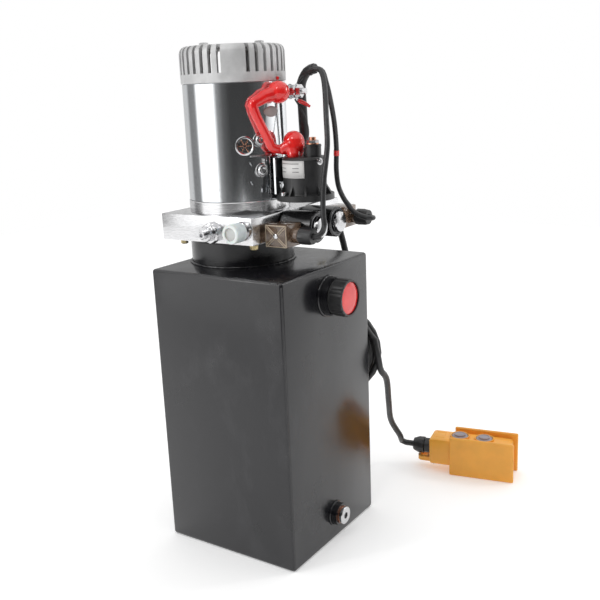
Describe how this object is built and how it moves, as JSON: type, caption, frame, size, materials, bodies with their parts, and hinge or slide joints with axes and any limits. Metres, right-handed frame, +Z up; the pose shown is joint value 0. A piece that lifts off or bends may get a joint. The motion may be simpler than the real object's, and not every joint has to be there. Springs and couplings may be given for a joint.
{
  "type": "hydraulic power unit",
  "caption": "Electric hydraulic power unit: box tank with motor, pump, manifold block, valves, start relay and a wired hand pendant.",
  "frame": {"origin": "centre of the tank's underside, on the floor", "axes": "+Z up; +X out of the side with the filler cap and drain plug; -Y out of the side that the relief valve and the port face"},
  "size_m": [0.3541, 0.4059, 0.6433],
  "materials": {
    "aluminium": "machined, brushed",
    "black_plastic": "satin moulded",
    "bright_steel": "bright plated",
    "cable_jacket": "satin jacket",
    "cast_cover": "fine matt casting",
    "copper": "bright copper",
    "grey_rubber": "satin membrane",
    "powder_black": "gloss powder coat",
    "red_vinyl": "glossy soft vinyl",
    "rubber": "matt",
    "smoke_plastic": "clear smoke tint",
    "steel": "plain machined",
    "white_plastic": "translucent moulded",
    "yellow_plastic": "satin moulded"
  },
  "bodies": {
    "unit": {"brush_ring": "black_plastic", "coil_nut_front": "bright_steel", "coil_nut_rear": "bright_steel", "connector_front": "smoke_plastic", "connector_rear": "smoke_plastic", "drain_boss": "powder_black", "field_frame": "steel", "filler_boss": "powder_black", "gland_nut_front": "black_plastic", "gland_nut_rear": "black_plastic", "harness_sheath": "cable_jacket", "manifold_block": "aluminium", "motor_end_cover": "cast_cover", "motor_flange": "aluminium", "motor_tube": "bright_steel", "pendant_cable_lower": "cable_jacket", "pendant_cable_upper": "cable_jacket", "pendant_case": "yellow_plastic", "pendant_coil": "cable_jacket", "pendant_gland": "black_plastic", "port_adaptor": "bright_steel", "pump_body": "aluminium", "pump_cover": "aluminium", "red_boot_lower": "red_vinyl", "red_boot_upper": "red_vinyl", "red_strap": "red_vinyl", "relay_bracket": "bright_steel", "relay_housing": "black_plastic", "relay_stud_left": "copper", "relay_stud_right": "copper", "relief_valve_body": "bright_steel", "suction_strainer": "steel", "tank_neck": "powder_black", "tank_shell": "powder_black", "terminal_ground": "bright_steel", "valve_coil_front": "black_plastic", "valve_coil_rear": "black_plastic", "valve_lead_front": "cable_jacket", "valve_lead_rear": "cable_jacket", "valve_stem_front": "bright_steel", "valve_stem_rear": "bright_steel"},
    "rotor": {"motor_shaft": "steel", "armature_core": "steel", "commutator": "copper", "shaft_coupling": "steel", "drive_gear": "steel"},
    "driven": {"driven_gear": "steel"},
    "filler_carrier": {"filler_gasket": "rubber"},
    "filler_lid": {"filler_cap": "black_plastic"},
    "drain_carrier": {"drain_washer": "copper"},
    "drain_screw": {"drain_plug": "bright_steel"},
    "relief_carrier": {"relief_seat": "steel"},
    "relief_screw": {"relief_adjuster": "bright_steel"},
    "locknut": {"relief_locknut": "bright_steel"},
    "port_plug": {"port_cap": "white_plastic"},
    "plunger": {"relay_plunger": "steel"},
    "spool_front": {"valve_spool_front": "steel"},
    "spool_rear": {"valve_spool_rear": "steel"},
    "raise_key": {"button_raise": "grey_rubber"},
    "lower_key": {"button_lower": "grey_rubber"}
  },
  "joints": [
    {"name": "armature_spin", "type": "hinge", "parent": "unit", "child": "rotor", "pos_m": [-0.032, 0.004, 0.5], "axis": [0, 0, 1], "continuous": true},
    {"name": "driven_gear_spin", "type": "hinge", "parent": "unit", "child": "driven", "pos_m": [-0.032, 0.032, 0.37], "axis": [0, 0, 1], "continuous": true},
    {"name": "filler_cap_travel", "type": "slide", "parent": "unit", "child": "filler_carrier", "axis": [1, 0, 0], "range_m": [0, 0.0091]},
    {"name": "filler_cap_turn", "type": "hinge", "parent": "filler_carrier", "child": "filler_lid", "pos_m": [0.115, 0, 0.333], "axis": [1, 0, 0], "range_deg": [0, 1080]},
    {"name": "drain_plug_travel", "type": "slide", "parent": "unit", "child": "drain_carrier", "axis": [1, 0, 0], "range_m": [0, 0.0091]},
    {"name": "drain_plug_turn", "type": "hinge", "parent": "drain_carrier", "child": "drain_screw", "pos_m": [0.112, 0, 0.036], "axis": [1, 0, 0], "range_deg": [0, 2160]},
    {"name": "relief_travel", "type": "slide", "parent": "unit", "child": "relief_carrier", "axis": [0, -1, 0], "range_m": [-0.00051, 0.00301]},
    {"name": "relief_turn", "type": "hinge", "parent": "relief_carrier", "child": "relief_screw", "pos_m": [-0.018, -0.069, 0.417], "axis": [0, -1, 0], "range_deg": [-180, 1080]},
    {"name": "locknut_turn", "type": "hinge", "parent": "unit", "child": "locknut", "pos_m": [-0.018, -0.086, 0.417], "axis": [0, -1, 0], "range_deg": [0, 90]},
    {"name": "port_cap_pull", "type": "slide", "parent": "unit", "child": "port_plug", "axis": [0, -1, 0], "range_m": [0, 0.02]},
    {"name": "relay_plunger_lift", "type": "slide", "parent": "unit", "child": "plunger", "axis": [0, 0, 1], "range_m": [0, 0.006], "stiffness_N_per_m": 300, "springref_m": -0.006},
    {"name": "valve_spool_front_shift", "type": "slide", "parent": "unit", "child": "spool_front", "axis": [1, 0, 0], "range_m": [0, 0.004], "stiffness_N_per_m": 400, "springref_m": -0.003},
    {"name": "valve_spool_rear_shift", "type": "slide", "parent": "unit", "child": "spool_rear", "axis": [1, 0, 0], "range_m": [0, 0.004], "stiffness_N_per_m": 400, "springref_m": -0.003},
    {"name": "button_raise_press", "type": "slide", "parent": "unit", "child": "raise_key", "axis": [0, 0, -1], "range_m": [0, 0.003], "stiffness_N_per_m": 400, "springref_m": -0.002},
    {"name": "button_lower_press", "type": "slide", "parent": "unit", "child": "lower_key", "axis": [0, 0, -1], "range_m": [0, 0.003], "stiffness_N_per_m": 400, "springref_m": -0.002}
  ],
  "couplings": [
    {"joint": "driven_gear_spin", "follows": "armature_spin", "ratio": -1},
    {"joint": "filler_cap_travel", "follows": "filler_cap_turn", "m_per_rad": 0.00047746},
    {"joint": "drain_plug_travel", "follows": "drain_plug_turn", "m_per_rad": 0.00023873},
    {"joint": "relief_travel", "follows": "relief_turn", "m_per_rad": 0.00015915}
  ]
}
